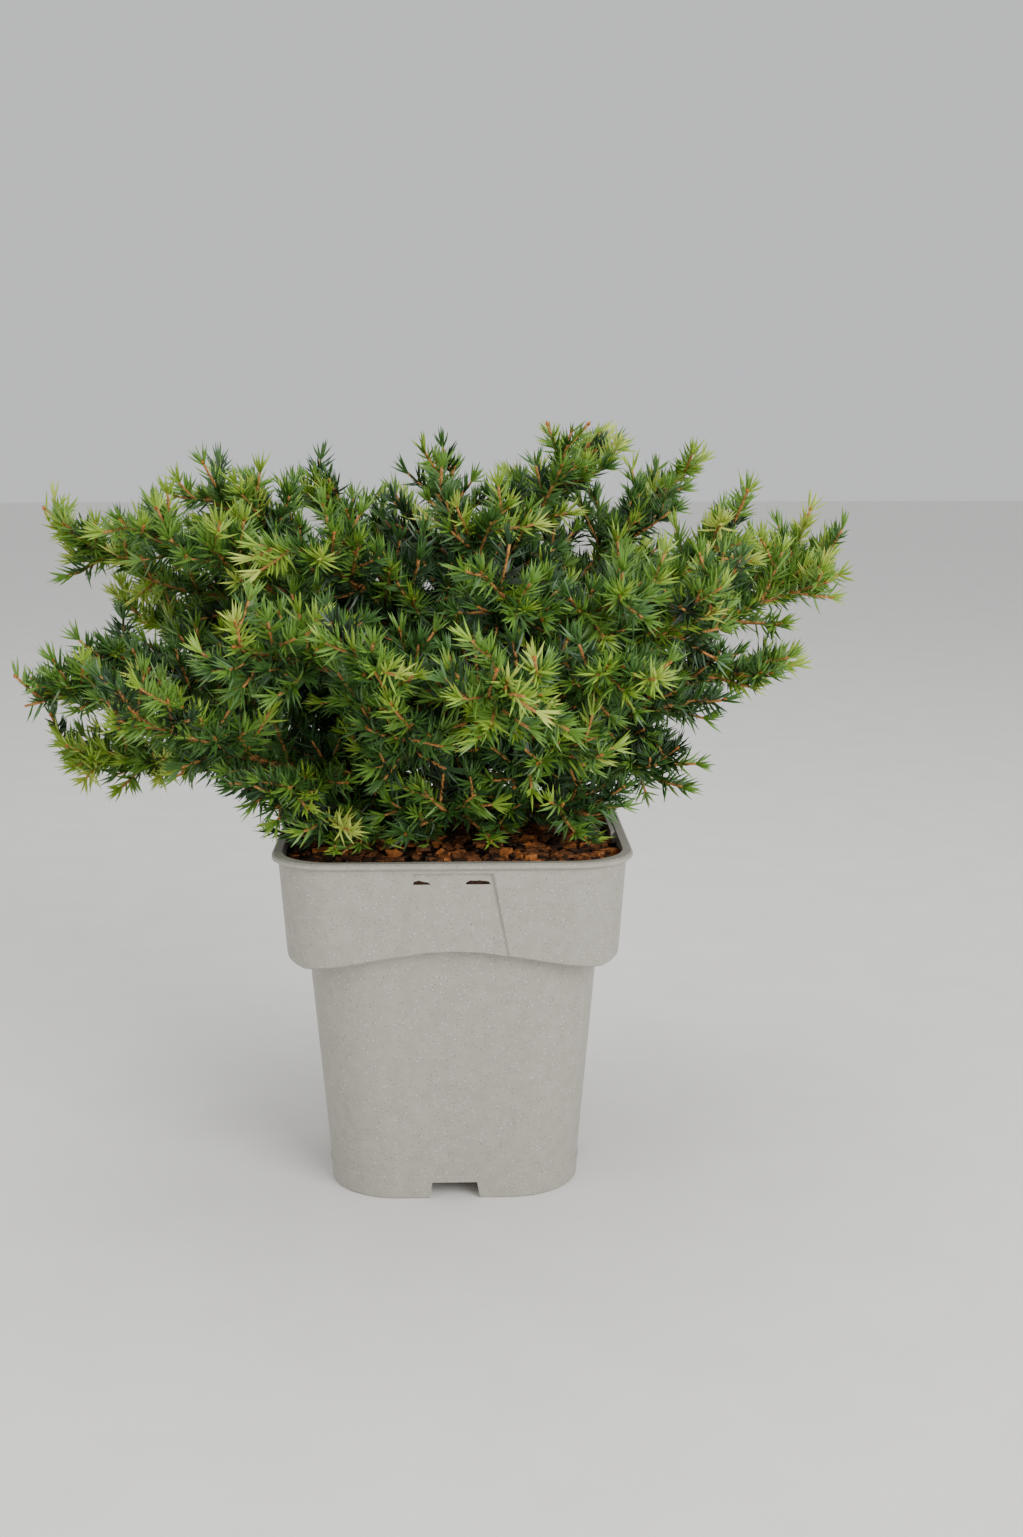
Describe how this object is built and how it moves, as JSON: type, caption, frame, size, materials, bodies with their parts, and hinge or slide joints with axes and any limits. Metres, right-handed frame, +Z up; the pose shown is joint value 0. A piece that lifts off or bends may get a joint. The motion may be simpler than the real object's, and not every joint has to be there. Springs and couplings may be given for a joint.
{
  "type": "potted birds nest spruce",
  "caption": "Low spreading dwarf spruce with needled shoots on a short leaning trunk, growing in a square grey nursery pot.",
  "frame": {"origin": "middle of the pot's underside, on the surface it stands on", "axes": "+Z up along the pot, the plant's front faces -Y, +X to its right as seen from the front"},
  "size_m": [0.3268, 0.2987, 0.3052],
  "materials": {
    "pot_plastic": "matte moulded, warm grey, finely speckled",
    "potting_mix": "dark moist peat with bark chips",
    "old_bark": "scaly brown bark",
    "young_bark": "ridged orange-brown twig bark",
    "needles": "green needles, satin"
  },
  "bodies": {
    "root": {"back_bough": "young_bark", "back_foliage": "needles", "back_left_bough": "young_bark", "back_left_foliage": "needles", "back_left_low_foliage": "needles", "back_low_foliage": "needles", "back_right_bough": "young_bark", "back_right_foliage": "needles", "back_right_low_foliage": "needles", "front_bough": "young_bark", "front_foliage": "needles", "front_high_foliage": "needles", "front_left_bough": "young_bark", "front_left_foliage": "needles", "front_low_foliage": "needles", "front_right_high_foliage": "needles", "front_right_low_foliage": "needles", "front_right_mid_foliage": "needles", "leader_foliage": "needles", "left_far_high_bough": "young_bark", "left_far_high_foliage": "needles", "left_far_low_bough": "young_bark", "left_far_low_foliage": "needles", "left_front_low_bough": "young_bark", "left_front_low_foliage": "needles", "left_front_mid_bough": "young_bark", "left_front_mid_foliage": "needles", "left_front_top_foliage": "needles", "left_front_under_foliage": "needles", "left_high_bough": "young_bark", "left_high_foliage": "needles", "left_low_bough": "young_bark", "left_low_foliage": "needles", "left_mid_foliage": "needles", "left_shadow_bough": "young_bark", "left_shadow_foliage": "needles", "left_top_foliage": "needles", "left_top_inner_foliage": "needles", "low_back_left_foliage": "needles", "low_back_right_foliage": "needles", "low_front_foliage": "needles", "low_front_left_foliage": "needles", "low_front_right_foliage": "needles", "pot": "pot_plastic", "potting_soil": "potting_mix", "right_back_top_foliage": "needles", "right_far_high_bough": "young_bark", "right_far_high_foliage": "needles", "right_far_low_bough": "young_bark", "right_far_low_foliage": "needles", "right_front_foliage": "needles", "right_front_low_foliage": "needles", "right_low_foliage": "needles", "right_mid_bough": "young_bark", "right_mid_foliage": "needles", "right_top_foliage": "needles", "top_centre_foliage": "needles", "top_left_foliage": "needles", "trunk": "old_bark"}
  },
  "joints": []
}
